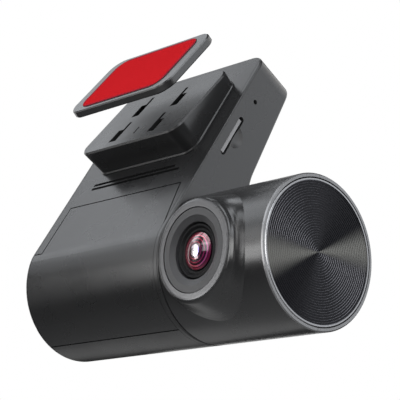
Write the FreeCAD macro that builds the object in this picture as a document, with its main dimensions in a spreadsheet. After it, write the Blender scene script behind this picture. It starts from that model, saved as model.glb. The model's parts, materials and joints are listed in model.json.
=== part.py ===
import FreeCAD, Part

import math
import os

import Sketcher

# A dash camera: a tube-shaped housing with a flat tongue rising from it, a lens barrel that turns
# on the housing's end, and a mount plate that stands off the slotted block on the tongue.
#
# Everything is laid out from the barrel's turning axis: x runs along the axis towards the barrel,
# -y is the way the lens looks, +z is up. x = 0 is the seam between housing and barrel.
# The model's own origin is the centre of the mount's adhesive face, so each sub-part is placed
# with the frame HOME, which moves the axis layout to that origin.

doc = FreeCAD.newDocument("dash_camera")
sheet = doc.addObject("Spreadsheet::Sheet", "Sheet")
sheet.Label = "sizes"

SIZES = {
    # housing and tongue
    "tube_radius": 18.0,
    "housing_length": 51.1,
    "tongue_angle": 57.64,
    "tongue_top": 17.74,
    "tongue_reach": 58.3,
    "tongue_corner": 5.3,
    "underside_rise": 5.37,
    "underside_offset": 0.79,
    "root_fillet": 14.0,
    "brow_fillet": 10.0,
    "edge_fillet": 0.5,
    "wall": 1.8,
    "side_plate": 1.45,
    "left_cover": 0.9,
    "seam": 0.36,
    "joint_line": 0.03,
    "plate_line": 0.1,
    "flat_end": 2.6,
    "cover_left": 47.0,
    "cover_top": 13.3,
    "cover_bottom_angle": 58.3,
    "cover_lip": 0.9,
    "lip_reach": 1.3,
    # vent slots, card slot, pinhole
    "vent_width": 0.85,
    "vent_left": 42.7,
    "slot_centre": 31.65,
    "slot_length": 12.6,
    "slot_height": 1.6,
    "card_plane": 14.4,
    "pinhole_along": 44.5,
    "pinhole_level": 13.5,
    "pinhole_radius": 0.6,
    # mount block
    "block_angle": 48.93,
    "block_top": 29.57,
    "block_left": 42.9,
    "block_right": 4.8,
    "block_front": 19.24,
    "block_back": 45.8,
    "block_corner": 4.0,
    "block_wall": 1.8,
    "block_roof": 1.0,
    "mount_centre": 23.95,
    "lane_inner": 6.1,
    "lane_width": 1.0,
    "keyhole_width": 2.8,
    "keyhole_front": 22.0,
    "keyhole_open": 5.2,
    "keyhole_total": 8.3,
    "keyhole_pitch": 11.1,
    # mount plate, pad and liner
    "plate_front": 24.2,
    "plate_depth": 24.2,
    "plate_width": 38.3,
    "plate_low": 37.4,
    "plate_thick": 2.05,
    "plate_corner": 4.4,
    "pad_width": 31.4,
    "pad_depth": 21.4,
    "pad_thick": 0.8,
    "pad_recess": 0.72,
    "pad_corner": 4.0,
    "liner_thick": 0.1,
    "hook_width": 2.5,
    "hook_stem": 0.8,
    "hook_length": 1.8,
    "hook_foot": 0.5,
    "hook_gap": 0.1,
    # barrel
    "barrel_start": 0.25,
    "barrel_end": 34.2,
    "barrel_bevel": 0.3,
    "cap_radius": 16.35,
    "cap_seat": 17.08,
    "cap_pitch": 0.585,
    "cap_groove": 0.07,
    "journal_radius": 6.0,
    "journal_bore": 4.2,
    "running_gap": 0.05,
    # lens
    "lens_along": 13.76,
    "boss_front": 19.53,
    "boss_radius": 11.0,
    "boss_round": 1.3,
    "boss_foot": 14.4,
    "boss_lean": 1.1,
    "boss_opening": 9.92,
    "annulus_inner": 8.1,
    "throat_radius": 6.65,
    "tube_front": 18.25,
    "glass_radius": 4.35,
}

for row, (name, value) in enumerate(SIZES.items(), start=1):
    sheet.set("A%d" % row, name)
    sheet.set("B%d" % row, str(value))
    sheet.setAlias("B%d" % row, name)
doc.recompute()


def size(name):
    """A driving dimension, read from the sheet."""
    return float(sheet.get(name))


def vec(x, y, z):
    return FreeCAD.Vector(x, y, z)


X_AXIS = vec(1, 0, 0)
Y_AXIS = vec(0, 1, 0)
Z_AXIS = vec(0, 0, 1)
ZERO = vec(0, 0, 0)
BIG = 120.0
NEAR = 0.01


# ---------------------------------------------------------------- frames

def turned_frame(angle):
    """A frame turned about the barrel axis: x stays, y leans up by angle."""
    return FreeCAD.Placement(ZERO, FreeCAD.Rotation(X_AXIS, angle))


tongue_turn = turned_frame(size("tongue_angle"))
block_turn = turned_frame(size("block_angle"))

pad_face_level = size("plate_low") + size("plate_thick") - size("pad_recess")
pad_face_level = pad_face_level + size("pad_thick") + size("liner_thick")
mount_point = block_turn.multVec(
    vec(-size("mount_centre"), size("plate_front") + size("plate_depth") / 2, pad_face_level)
)
HOME = FreeCAD.Placement(mount_point.negative(), FreeCAD.Rotation())
TONGUE = HOME.multiply(tongue_turn)
BLOCK = HOME.multiply(block_turn)
# lens frame: x runs forward out of the lens, y along the barrel
LENS_IN_BARREL = FreeCAD.Placement(vec(size("lens_along"), 0, 0), FreeCAD.Rotation(Z_AXIS, -90))
LENS = HOME.multiply(LENS_IN_BARREL)
BLOCK_IN_TONGUE = tongue_turn.inverse().multiply(block_turn)

nodes = []


def keep(thing, label, frame):
    """Name a sub-part, put it in its frame and list it for export."""
    thing.Label = label
    thing.Placement = frame
    nodes.append(thing)
    return thing


def shaped(label, shape, frame):
    """A sub-part whose shape comes from Part's own functions."""
    thing = doc.addObject("Part::Feature", label)
    thing.Shape = shape
    return keep(thing, label, frame)


# ---------------------------------------------------------------- PartDesign helpers

def origin_plane(body, role):
    return [feature for feature in body.Origin.OriginFeatures if feature.Role == role][0]


def add_sketch(body, name, role="XY_Plane", lift="0"):
    """A sketch on one of the body's own origin planes, lifted off it by an expression."""
    sketch = body.newObject("Sketcher::SketchObject", name)
    sketch.AttachmentSupport = [(origin_plane(body, role), "")]
    sketch.MapMode = "FlatFace"
    if lift != "0":
        sketch.setExpression("AttachmentOffset.Base.z", lift)
    return sketch


def bind(sketch, index, expression):
    sketch.setExpression("Constraints[%d]" % index, expression)


def draw_polygon(sketch, corners):
    """A closed outline; each corner is a pair of expressions on the sheet's sizes."""
    values = [[float(sketch.evalExpression(text)) for text in corner] for corner in corners]
    count = len(corners)
    for i in range(count):
        start = vec(values[i][0], values[i][1], 0)
        end = vec(values[(i + 1) % count][0], values[(i + 1) % count][1], 0)
        sketch.addGeometry(Part.LineSegment(start, end), False)
    for i in range(count):
        sketch.addConstraint(Sketcher.Constraint("Coincident", i, 2, (i + 1) % count, 1))
    for i, (corner, value) in enumerate(zip(corners, values)):
        for kind, axis, text, number in (
            ("DistanceX", -2, corner[0], value[0]),
            ("DistanceY", -1, corner[1], value[1]),
        ):
            if text == "0":
                sketch.addConstraint(Sketcher.Constraint("PointOnObject", i, 1, axis))
            else:
                index = sketch.addConstraint(Sketcher.Constraint(kind, -1, 1, i, 1, number))
                bind(sketch, index, text)


def draw_circle(sketch, across, up, radius):
    """A circle whose centre and radius follow expressions."""
    place = [float(sketch.evalExpression(text)) for text in (across, up, radius)]
    index = sketch.addGeometry(Part.Circle(vec(place[0], place[1], 0), Z_AXIS, place[2]), False)
    bind(sketch, sketch.addConstraint(Sketcher.Constraint("Radius", index, place[2])), radius)
    for kind, axis, text, number in (
        ("DistanceX", -2, across, place[0]),
        ("DistanceY", -1, up, place[1]),
    ):
        if text == "0":
            sketch.addConstraint(Sketcher.Constraint("PointOnObject", index, 3, axis))
        else:
            bind(sketch, sketch.addConstraint(Sketcher.Constraint(kind, -1, 1, index, 3, number)), text)


def rectangle(left, low, width, depth):
    """Corner expressions of a rectangle."""
    right = "%s + %s" % (left, width)
    high = "%s + %s" % (low, depth)
    return [(left, low), (right, low), (right, high), (left, high)]


def turned(label, frame, corners):
    """A body of revolution about its own x axis; corners are (along, radius) expressions."""
    body = doc.addObject("PartDesign::Body", label)
    sketch = add_sketch(body, label + "_profile")
    draw_polygon(sketch, corners)
    revolution = body.newObject("PartDesign::Revolution", label + "_turn")
    revolution.Profile = sketch
    revolution.ReferenceAxis = (sketch, ["H_Axis"])
    revolution.Angle = 360
    return keep(body, label, frame)


def ring(label, frame, start, end, inner, outer):
    """A plain turned ring or, with inner 0, a disc."""
    return turned(label, frame, [(start, inner), (end, inner), (end, outer), (start, outer)])


def pad_on(body, name, sketch, length):
    pad = body.newObject("PartDesign::Pad", name)
    pad.Profile = sketch
    pad.setExpression("Length", length)
    return pad


def slab(label, frame, corners, lift, thick, holes=()):
    """A flat piece padded along its z, with round holes given as (across, up, radius)."""
    body = doc.addObject("PartDesign::Body", label)
    sketch = add_sketch(body, label + "_outline", lift=lift)
    draw_polygon(sketch, corners)
    for hole in holes:
        draw_circle(sketch, *hole)
    pad_on(body, label + "_pad", sketch, thick)
    return keep(body, label, frame)


def brick(label, frame, place, lengths):
    """A rectangular block with its low corner at place; lengths are expressions."""
    box = doc.addObject("Part::Box", label)
    for key, text in zip(("Length", "Width", "Height"), lengths):
        box.setExpression(key, text)
    return keep(box, label, frame.multiply(FreeCAD.Placement(vec(*place), FreeCAD.Rotation())))


# ---------------------------------------------------------------- plain solids for the shells

def box_between(low, high):
    return Part.makeBox(high[0] - low[0], high[1] - low[1], high[2] - low[2], vec(*low))


def rod(radius, start, direction, length):
    return Part.makeCylinder(radius, length, start, direction)


def rounded_rectangle(left, right, low, high, level, radius):
    """A closed wire in a plane of constant z, with round corners."""
    edges = []
    corners = [(right, low, -90), (right, high, 0), (left, high, 90), (left, low, 180)]
    spots = []
    for across, up, start in corners:
        middle_x = across - radius if across == right else across + radius
        middle_y = up - radius if up == high else up + radius
        points = []
        for turn in (0, 45, 90):
            angle = math.radians(start + turn)
            reach = vec(radius * math.cos(angle), radius * math.sin(angle), 0)
            points.append(vec(middle_x, middle_y, level) + reach)
        spots.append(points)
    for i, points in enumerate(spots):
        edges.append(Part.Arc(points[0], points[1], points[2]).toShape())
        edges.append(Part.LineSegment(points[2], spots[(i + 1) % 4][0]).toShape())
    return Part.Wire(edges)


def loft(wires):
    return Part.makeLoft(wires, True, True)


def in_block_frame(wire):
    """A wire drawn in the block's frame, carried into the tongue's frame."""
    return wire.transformGeometry(BLOCK_IN_TONGUE.toMatrix())


# ---------------------------------------------------------------- housing outline

def halfway(first, second):
    """The unit direction midway between two others."""
    return (first.normalize() + second.normalize()).normalize()


def side_outline(inset, along):
    """The housing seen from its end, set in by a wall; tongue frame, in the plane x = along."""
    radius = size("tube_radius")
    level = size("tongue_top")
    reach = size("tongue_reach")
    rise = math.radians(size("underside_rise"))
    line = vec(0, math.cos(rise), math.sin(rise))
    out = vec(0, math.sin(rise), -math.cos(rise))
    offset = -size("underside_offset") * math.cos(rise)
    # fillet between underside and tube, tangent to both
    root = size("root_fillet")
    root_reach = math.sqrt((radius + root) ** 2 - (offset + root) ** 2)
    root_centre = line * root_reach + out * (offset + root)
    # fillet between tube and top face, tangent to both
    brow = size("brow_fillet")
    brow_centre = vec(0, -math.sqrt((radius - brow) ** 2 - (level - brow) ** 2), level - brow)

    def under(reach_along):
        """The point of the underside at a given distance along the tongue."""
        return vec(0, reach_along, (offset - inset - reach_along * out.y) / out.z)

    tip_high = vec(0, reach - inset, level - inset)
    tip_low = under(reach - inset)
    under_end = line * root_reach + out * (offset - inset)
    root_end = root_centre * ((radius - inset) / root_centre.Length)
    brow_start = brow_centre * ((radius - inset) / brow_centre.Length)
    brow_end = vec(0, brow_centre.y, level - inset)
    root_way = halfway(under_end - root_centre, root_end - root_centre)
    root_middle = root_centre + root_way * (root + inset)
    brow_way = halfway(brow_start - brow_centre, brow_end - brow_centre)
    brow_middle = brow_centre + brow_way * (brow - inset)
    tube_middle = vec(0, -0.35, -0.94).normalize() * (radius - inset)
    shift = vec(along, 0, 0)
    edges = [
        Part.LineSegment(brow_end + shift, tip_high + shift).toShape(),
        Part.LineSegment(tip_high + shift, tip_low + shift).toShape(),
        Part.LineSegment(tip_low + shift, under_end + shift).toShape(),
        Part.Arc(under_end + shift, root_middle + shift, root_end + shift).toShape(),
        Part.Arc(root_end + shift, tube_middle + shift, brow_start + shift).toShape(),
        Part.Arc(brow_start + shift, brow_middle + shift, brow_end + shift).toShape(),
    ]
    return Part.Wire(edges)


def outline_prism(inset, start, end):
    return Part.Face(side_outline(inset, start)).extrude(vec(end - start, 0, 0))


def housing_blank():
    """The whole closed outer form of the housing, with its rounded edges."""
    form = outline_prism(0, -size("housing_length"), 0)
    corners = [edge for edge in form.Edges if is_tip_end(edge)]
    form = form.makeFillet(size("tongue_corner"), corners)
    rims = []
    for edge in form.Edges:
        box = edge.BoundBox
        on_side = min(abs(box.XMin), abs(box.XMin + size("housing_length"))) < NEAR
        on_tip = abs(box.YMax - size("tongue_reach")) < NEAR
        upright = box.XLength < NEAR and box.YLength < NEAR
        if not upright and (on_tip or (on_side and box.XLength < NEAR)):
            rims.append(edge)
    return form.makeFillet(size("edge_fillet"), rims)


def is_tip_end(edge):
    """True for the two edges across the tongue's thickness at its tip."""
    box = edge.BoundBox
    return abs(box.YMin - size("tongue_reach")) < NEAR and box.ZLength > 5


def inner_room():
    """The hollow inside the housing, between the left cover and the side plate."""
    room = outline_prism(size("wall"), -BIG, BIG)
    left = -size("housing_length") + size("left_cover")
    tip = size("tongue_reach") - size("wall")
    radius = size("tongue_corner") - size("left_cover")
    outline = rounded_rectangle(left, -size("side_plate"), -BIG, tip, -BIG, radius)
    return room.common(Part.Face(outline).extrude(vec(0, 0, 2 * BIG)))


blank = housing_blank()
cavity = inner_room()

# the cover's right edge slants across the tongue, from its top corner out to the side plate
COVER_CORNER_IN = 4.6
COVER_CORNER_LOW = -1.0
COVER_SLANT_LEVEL = 9.0


def cover_sector(grow, top, left, right):
    """Everything in front of the seams, up to the level top on the tongue, from left to right."""
    bottom = math.radians(180 + size("cover_bottom_angle") - size("tongue_angle"))
    slide = vec(0, -math.sin(bottom), math.cos(bottom)) * grow
    points = [
        vec(left, top + grow, BIG),
        vec(left, top + grow, 6.0),
        vec(left, 0, 0) + slide,
        vec(left, BIG * math.cos(bottom), BIG * math.sin(bottom)) + slide,
        vec(left, -BIG, -BIG),
        vec(left, -BIG, BIG),
    ]
    return Part.Face(Part.makePolygon(points + [points[0]])).extrude(vec(right - left, 0, 0))


def cover_region(grow, reach_out):
    """The stretch of housing that the front cover fills.

    On the tongue its left edge stands back from the end; round the tube it runs to the end.
    """
    end = -size("side_plate") + reach_out
    left = -size("cover_left") - grow
    inner_left = -size("housing_length") + size("left_cover")
    region = cover_sector(grow, size("cover_top"), left, end)
    region = region.fuse(cover_sector(grow, -size("flat_end"), inner_left, end))
    high = size("cover_top") + 4
    level = COVER_SLANT_LEVEL
    corner = [
        vec(-COVER_CORNER_IN + grow, high, level),
        vec(BIG, high, level),
        vec(BIG, COVER_CORNER_LOW, level),
        vec(-size("side_plate") + grow, COVER_CORNER_LOW, level),
        vec(-COVER_CORNER_IN + grow, size("cover_top") + grow, level),
    ]
    wedge = Part.Face(Part.makePolygon(corner + [corner[0]])).extrude(vec(0, 0, BIG))
    return region.cut(wedge)


def keyed_slots(roof_low, roof_high):
    """The four keyhole slots of the block, in the block's frame."""
    slots = []
    for side in (-1, 1):
        for step in (0, 1):
            front = size("keyhole_front") + step * size("keyhole_pitch")
            for width, length in (
                (size("keyhole_width"), size("keyhole_open")),
                (size("lane_width"), size("keyhole_total")),
            ):
                inner = size("lane_inner")
                left = (inner if side > 0 else -inner - width) - size("mount_centre")
                low = (left, front, roof_low)
                slots.append(box_between(low, (left + width, front + length, roof_high)))
    return slots[0].multiFuse(slots[1:])


# ---------------------------------------------------------------- housing pieces

inner_top = size("tongue_top") - size("wall")
BOARD_LOW = 11.9
BOARD_HIGH = 12.9
BOARD_SCREWS = [(-44.8, 18.0), (-44.8, 47.0), (-6.5, 18.0), (-14.0, 48.5)]
BLOCK_SCREWS = [(-37.5, 28.5), (-37.5, 44.5), (-10.5, 44.5)]
SIDE_SCREW_ANGLES = [255.0, 315.0, 15.0]
SIDE_SCREW_RING = 14.3
PILOT_RADIUS = 0.75
SHANK_RADIUS = 0.73
CLEAR_RADIUS = 1.1
SOCKET_ALONG = 35.5
SOCKET_LEVEL = 10.2
# the hub's lug points straight up and swings between two posts on the side plate
LUG_ANGLE = 90.0
LUG_HALF = 10.0
# the shallow dish beside the card slot
DISH_RADIUS = 10.0
DISH_DEPTH = 0.5
STOP_TURN = 78.0


def on_ring(angle, radius, along):
    """A point round the barrel axis, by its angle in the object's own frame; tongue frame."""
    turn = math.radians(angle - size("tongue_angle"))
    return vec(along, radius * math.cos(turn), radius * math.sin(turn))


def main_housing():
    shell = blank.common(
        box_between(
            (-size("housing_length") + size("left_cover"), -BIG, -BIG),
            (-size("side_plate") - size("plate_line"), BIG, BIG),
        )
    )
    shell = shell.cut(cavity)
    left_of_plate = box_between((-BIG, -BIG, -BIG), (-size("side_plate"), BIG, BIG))
    shell = shell.cut(cover_region(size("seam"), 0).common(left_of_plate))
    for across, up in BOARD_SCREWS:
        tall = inner_top - BOARD_HIGH + 0.2
        shell = shell.fuse(rod(1.9, vec(across, up, BOARD_HIGH), Z_AXIS, tall))
        shell = shell.cut(rod(PILOT_RADIUS, vec(across, up, BOARD_HIGH - 0.1), Z_AXIS, 2.6))
    for angle in SIDE_SCREW_ANGLES:
        centre = on_ring(angle, SIDE_SCREW_RING, -9.0)
        shell = shell.fuse(rod(2.1, centre, X_AXIS, 9.0 - size("side_plate") - size("joint_line")))
        shell = shell.cut(rod(PILOT_RADIUS, centre, X_AXIS, 12.0))
    for across, up in BLOCK_SCREWS:
        shell = shell.cut(rod(CLEAR_RADIUS, vec(across, up, inner_top - 1), Z_AXIS, 4.0))
    for up, right in ((19.3, -8.7), (20.7, -11.0)):
        half = size("vent_width") / 2
        low = (-size("vent_left"), up - half, inner_top - 1)
        shell = shell.cut(box_between(low, (right, up + half, inner_top + 3)))
    return shell


def front_cover():
    skin = blank.common(cover_region(0, -size("plate_line"))).cut(cavity)
    lip = outline_prism(size("wall") + 0.02, -BIG, BIG).cut(
        outline_prism(size("wall") + size("cover_lip"), -BIG, BIG)
    )
    lip_zone = cover_region(size("lip_reach"), -0.6)
    lip = lip.common(lip_zone)
    bridge = outline_prism(size("wall") - 0.3, -BIG, BIG).cut(
        outline_prism(size("wall") + size("cover_lip"), -BIG, BIG)
    )
    bridge = bridge.common(cover_region(0, -0.6))
    return skin.fuse(lip).fuse(bridge).removeSplitter()


def side_plate():
    plate = blank.common(box_between((-size("side_plate"), -BIG, -BIG), (BIG, BIG, BIG)))
    bore = size("journal_radius") + size("running_gap")
    plate = plate.fuse(rod(8.6, vec(-4.0, 0, 0), X_AXIS, 4.0 - size("side_plate") / 2))
    for turn in (-STOP_TURN, STOP_TURN):
        middle = LUG_ANGLE + turn - size("tongue_angle")
        plate = plate.fuse(sector(8.9, 10.4, -7.3, -size("side_plate") / 2, middle, 7.0))
    plate = plate.cut(rod(bore, vec(-BIG, 0, 0), X_AXIS, 2 * BIG))
    along = size("slot_centre")
    half = size("slot_length") / 2
    tall = size("slot_height") / 2
    level = size("card_plane")
    slot = box_between((-5, along - half + tall, level - tall), (5, along + half - tall, level + tall))
    for end in (-1, 1):
        slot = slot.fuse(rod(tall, vec(-5, along + end * (half - tall), level), X_AXIS, 10))
    plate = plate.cut(slot)
    dish = Part.makeSphere(DISH_RADIUS, vec(DISH_RADIUS - DISH_DEPTH, along + 0.3, level - 0.4))
    plate = plate.cut(dish.common(box_between((-5, -BIG, level - 5), (5, BIG, level))))
    pinhole = vec(-5, size("pinhole_along"), size("pinhole_level"))
    plate = plate.cut(rod(size("pinhole_radius"), pinhole, X_AXIS, 10))
    for angle in SIDE_SCREW_ANGLES:
        centre = on_ring(angle, SIDE_SCREW_RING, -5.0)
        plate = plate.cut(rod(CLEAR_RADIUS, centre, X_AXIS, 10))
        plate = plate.cut(rod(2.0, on_ring(angle, SIDE_SCREW_RING, -0.8), X_AXIS, 5))
    return plate


def sector(inner, outer, start, end, middle, half):
    """A block bent round the x axis between two radii, centred on an angle from +y."""
    corners = []
    for radius, turns in ((inner, (-half, 0, half)), (outer, (half, 0, -half))):
        for turn in turns:
            angle = math.radians(middle + turn)
            corners.append(vec(start, radius * math.cos(angle), radius * math.sin(angle)))
    edges = [
        Part.Arc(corners[0], corners[1], corners[2]).toShape(),
        Part.LineSegment(corners[2], corners[3]).toShape(),
        Part.Arc(corners[3], corners[4], corners[5]).toShape(),
        Part.LineSegment(corners[5], corners[0]).toShape(),
    ]
    return Part.Face(Part.Wire(edges)).extrude(vec(end - start, 0, 0))


def left_cover():
    right = -size("housing_length") + size("left_cover") - size("plate_line")
    plate = blank.common(box_between((-BIG, -BIG, -BIG), (right, BIG, BIG)))
    return plate.cut(rounded_slot(9.3, 3.5, -BIG, BIG, SOCKET_ALONG, SOCKET_LEVEL))


def rounded_slot(width, height, start, end, along, level):
    """A stadium-shaped prism along x, centred at (along, level)."""
    radius = height / 2
    reach = width / 2 - radius
    body = box_between((start, along - reach, level - radius), (end, along + reach, level + radius))
    for side in (-1, 1):
        body = body.fuse(rod(radius, vec(start, along + side * reach, level), X_AXIS, end - start))
    return body


shaped("main_housing", main_housing(), TONGUE)
shaped("front_cover", front_cover(), TONGUE)
shaped("side_plate", side_plate(), TONGUE)
shaped("left_cover", left_cover(), TONGUE)


# ---------------------------------------------------------------- mount block

BASE_LEFT = 43.7
BASE_RIGHT = 6.2
BASE_FRONT = 24.35
BASE_BACK = 50.2
SKIRT_REACH = 0.4


def base_wire(reach, level):
    """The outline of the block's foot, grown by reach, at one level."""
    corner = size("block_corner") + max(reach, -2.0)
    sides = (-BASE_LEFT - reach, -BASE_RIGHT + reach, BASE_FRONT - reach, BASE_BACK + reach)
    return rounded_rectangle(*sides, level, corner)


def block_wires(inset, level_drop, base_level):
    """Base and top outlines of the wedge-shaped block, set in by inset."""
    top = rounded_rectangle(
        -size("block_left") + inset,
        -size("block_right") - inset,
        size("block_front") + inset,
        size("block_back") - inset,
        size("block_top") - level_drop,
        size("block_corner") - min(inset, 2.0),
    )
    return base_wire(-inset, base_level), in_block_frame(top)


def mount_block():
    rest = size("tongue_top")
    base, shoulder = block_wires(0, 0.45, rest)
    crown = block_wires(0.4, 0, rest)[1]
    body = loft([base, shoulder]).fuse(loft([shoulder, crown]))
    skirt_low = base_wire(SKIRT_REACH, rest)
    skirt_high = base_wire(SKIRT_REACH, rest + 0.35)
    skirt_top = base_wire(0, rest + 0.7)
    body = body.fuse(loft([skirt_low, skirt_high])).fuse(loft([skirt_high, skirt_top]))
    hollow_base, hollow_top = block_wires(size("block_wall"), size("block_roof"), rest - 1.0)
    hollow = loft([hollow_base, hollow_top])
    for across, up in BLOCK_SCREWS:
        hollow = hollow.cut(rod(2.3, vec(across, up, rest - 2), Z_AXIS, 30))
    body = body.cut(hollow)
    for across, up in BLOCK_SCREWS:
        body = body.cut(rod(PILOT_RADIUS, vec(across, up, rest - 1), Z_AXIS, 4.2))
    slots = keyed_slots(size("block_top") - 3, size("block_top") + 3)
    middle = -size("mount_centre")
    top = size("block_top")
    latch = box_between((middle - 0.28, 23.4, top - 3), (middle + 0.28, 26.1, top + 3))
    cutter = slots.fuse(latch)
    cutter.Placement = BLOCK_IN_TONGUE
    return body.cut(cutter)


shaped("mount_block", mount_block(), TONGUE)


# ---------------------------------------------------------------- mount plate, pad and liner

def mount_plate():
    left = -size("mount_centre") - size("plate_width") / 2
    right = left + size("plate_width")
    front = size("plate_front")
    back = front + size("plate_depth")
    low = size("plate_low")
    high = low + size("plate_thick")
    radius = size("plate_corner")
    soft = 0.3
    levels = [(soft, low), (0, low + soft), (0, high - soft), (soft, high)]
    wires = []
    for inset, level in levels:
        sides = (left + inset, right - inset, front + inset, back - inset)
        wires.append(rounded_rectangle(*sides, level, radius - inset))
    plate = loft(wires[:2]).fuse(loft(wires[1:3])).fuse(loft(wires[2:]))
    middle_y = (front + back) / 2
    half_w = size("pad_width") / 2 + 0.1
    half_d = size("pad_depth") / 2 + 0.1
    middle_x = -size("mount_centre")
    sides = (middle_x - half_w, middle_x + half_w, middle_y - half_d, middle_y + half_d)
    recess = [
        rounded_rectangle(*sides, level, size("pad_corner") + 0.1)
        for level in (high - size("pad_recess"), high + 1)
    ]
    plate = plate.cut(loft(recess))
    # hooks hang below: a stem as wide as the slot's lane and a foot that reaches outwards
    drop = size("block_roof") + size("hook_gap")
    lane_shift = (size("lane_width") - size("hook_stem")) / 2
    lane_end = size("keyhole_front") + size("keyhole_total") - 0.3
    for side in (-1, 1):
        for step in (0, 1):
            hook_back = lane_end + step * size("keyhole_pitch")
            near = size("lane_inner") + lane_shift
            for width, top, bottom in (
                (size("hook_stem"), low + 0.1, low - drop),
                (size("hook_width"), low - drop, low - drop - size("hook_foot")),
            ):
                inner = near if side > 0 else -near - width
                plate = plate.fuse(
                    box_between(
                        (inner + middle_x, hook_back - size("hook_length"), bottom),
                        (inner + width + middle_x, hook_back, top),
                    )
                )
    return plate.removeSplitter()


shaped("mount_plate", mount_plate(), BLOCK)


def soft_sheet(label, inset, low, thick):
    """A thin sheet with round corners in the plate's recess, as a padded and filleted body."""
    body = doc.addObject("PartDesign::Body", label)
    sketch = add_sketch(body, label + "_outline", lift=low)
    left = "-mount_centre - pad_width / 2 + %s" % inset
    front = "plate_front + plate_depth / 2 - pad_depth / 2 + %s" % inset
    width = named("pad_width - 2 * %s" % inset)
    depth = named("pad_depth - 2 * %s" % inset)
    draw_polygon(sketch, rectangle(named(left), named(front), width, depth))
    pad = pad_on(body, label + "_pad", sketch, thick)
    doc.recompute()
    upright = []
    for i, edge in enumerate(pad.Shape.Edges, start=1):
        if abs(edge.Vertexes[0].Z - edge.Vertexes[1].Z) > 0.01:
            upright.append("Edge%d" % i)
    fillet = body.newObject("PartDesign::Fillet", label + "_corners")
    fillet.Base = (pad, upright)
    fillet.setExpression("Radius", named("pad_corner - %s" % inset))
    return keep(body, label, BLOCK)


def named(text):
    """Turn the size names in an expression into references to the sheet."""
    words = []
    word = ""
    for letter in text + " ":
        if letter.isalnum() or letter == "_":
            word += letter
            continue
        words.append("Sheet." + word if word in SIZES else word)
        words.append(letter)
        word = ""
    return "".join(words).strip()


PAD_LOW = "plate_low + plate_thick - pad_recess"
soft_sheet("adhesive_pad", "0", named(PAD_LOW), named("pad_thick"))
soft_sheet("release_liner", "0.05", named(PAD_LOW + " + pad_thick"), named("liner_thick"))


# ---------------------------------------------------------------- lens barrel

FACE_IN_BARREL = FreeCAD.Placement(vec(size("lens_along"), 0, 0), FreeCAD.Rotation(X_AXIS, 90))
LENS_FACE = HOME.multiply(FACE_IN_BARREL)
HUB_SCREW_ANGLES = [60.0, 120.0, 240.0, 300.0]
HUB_SCREW_RING = 14.3
SENSOR_SCREWS = [(-8.0, -9.5), (-8.0, 9.5), (8.0, -9.5), (8.0, 9.5)]
SHELL_PARTING = 0.05
SKIRT_STEPS = 36
LEAN_ANGLE = math.radians(-25)
SHOULDER_SHARE = 0.3
SHOULDER_LEAD = math.radians(38)
STEEPEST = math.radians(76)
FOOT_EASE = math.radians(10)
SHALLOWEST = math.radians(6)
SKIRT_SHARES = (0, 0.06, 0.12, 0.18, 0.24, 0.3, 0.4, 0.5, 0.6, 0.7, 0.8, 0.9, 1.25)
BOSS_ROOT = 8.6


def revolved(points):
    """A solid turned about x from (along, radius) points."""
    corners = [vec(along, radius, 0) for along, radius in points]
    face = Part.Face(Part.makePolygon(corners + [corners[0]]))
    return face.revolve(ZERO, X_AXIS, 360)


def skirt_point(turn, share):
    """A point on the flank of the boss at the angle turn, as (radius, distance from the barrel axis).

    The flank rolls over a rounded shoulder, then sweeps out hollow to a foot on the barrel. The foot
    is steep under and above the boss, where the barrel falls away, and shallow beside it.
    """
    front = size("boss_front")
    shoulder = size("boss_round")
    foot = size("boss_foot") + size("boss_lean") * math.cos(turn - LEAN_ANGLE)
    foot_drop = front - math.sqrt(size("tube_radius") ** 2 - (foot * math.sin(turn)) ** 2)
    chord = math.atan2(foot_drop - shoulder / 2, foot - size("boss_radius") - shoulder)
    steep = min(chord + SHOULDER_LEAD, STEEPEST)
    shallow = max(chord - FOOT_EASE, SHALLOWEST)
    bend = steep * min(share / SHOULDER_SHARE, 1)
    radius = size("boss_radius") + shoulder * math.sin(bend)
    drop = shoulder * (1 - math.cos(bend))
    t = (share - SHOULDER_SHARE) / (1 - SHOULDER_SHARE)
    if t > 1:
        radius = foot + (t - 1) * math.cos(shallow)
        drop = foot_drop + (t - 1) * math.sin(shallow)
    elif t > 0:
        reach = math.hypot(foot - radius, foot_drop - drop) / 3
        corners = [
            (radius, drop),
            (radius + reach * math.cos(steep), drop + reach * math.sin(steep)),
            (foot - reach * math.cos(shallow), foot_drop - reach * math.sin(shallow)),
            (foot, foot_drop),
        ]
        weights = [(1 - t) ** 3, 3 * t * (1 - t) ** 2, 3 * t * t * (1 - t), t ** 3]
        radius = sum(weight * corner[0] for weight, corner in zip(weights, corners))
        drop = sum(weight * corner[1] for weight, corner in zip(weights, corners))
    return radius, front - drop


def round_wire(spot):
    """A closed curve in the lens frame through spot(turn) = (radius, distance from the barrel axis)."""
    points = []
    for step in range(SKIRT_STEPS):
        turn = 2 * math.pi * step / SKIRT_STEPS
        radius, forward = spot(turn)
        points.append(vec(forward, radius * math.cos(turn), radius * math.sin(turn)))
    curve = Part.BSplineCurve()
    curve.interpolate(points, PeriodicFlag=True)
    return Part.Wire([curve.toShape()])


def boss_solid():
    """The round boss that carries the lens: flat face, rounded shoulder and hollow flank."""
    wires = [round_wire(lambda turn, share=share: skirt_point(turn, share)) for share in SKIRT_SHARES]
    wires.append(round_wire(lambda turn: (size("boss_radius") - 1, BOSS_ROOT)))
    return loft(wires)


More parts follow.
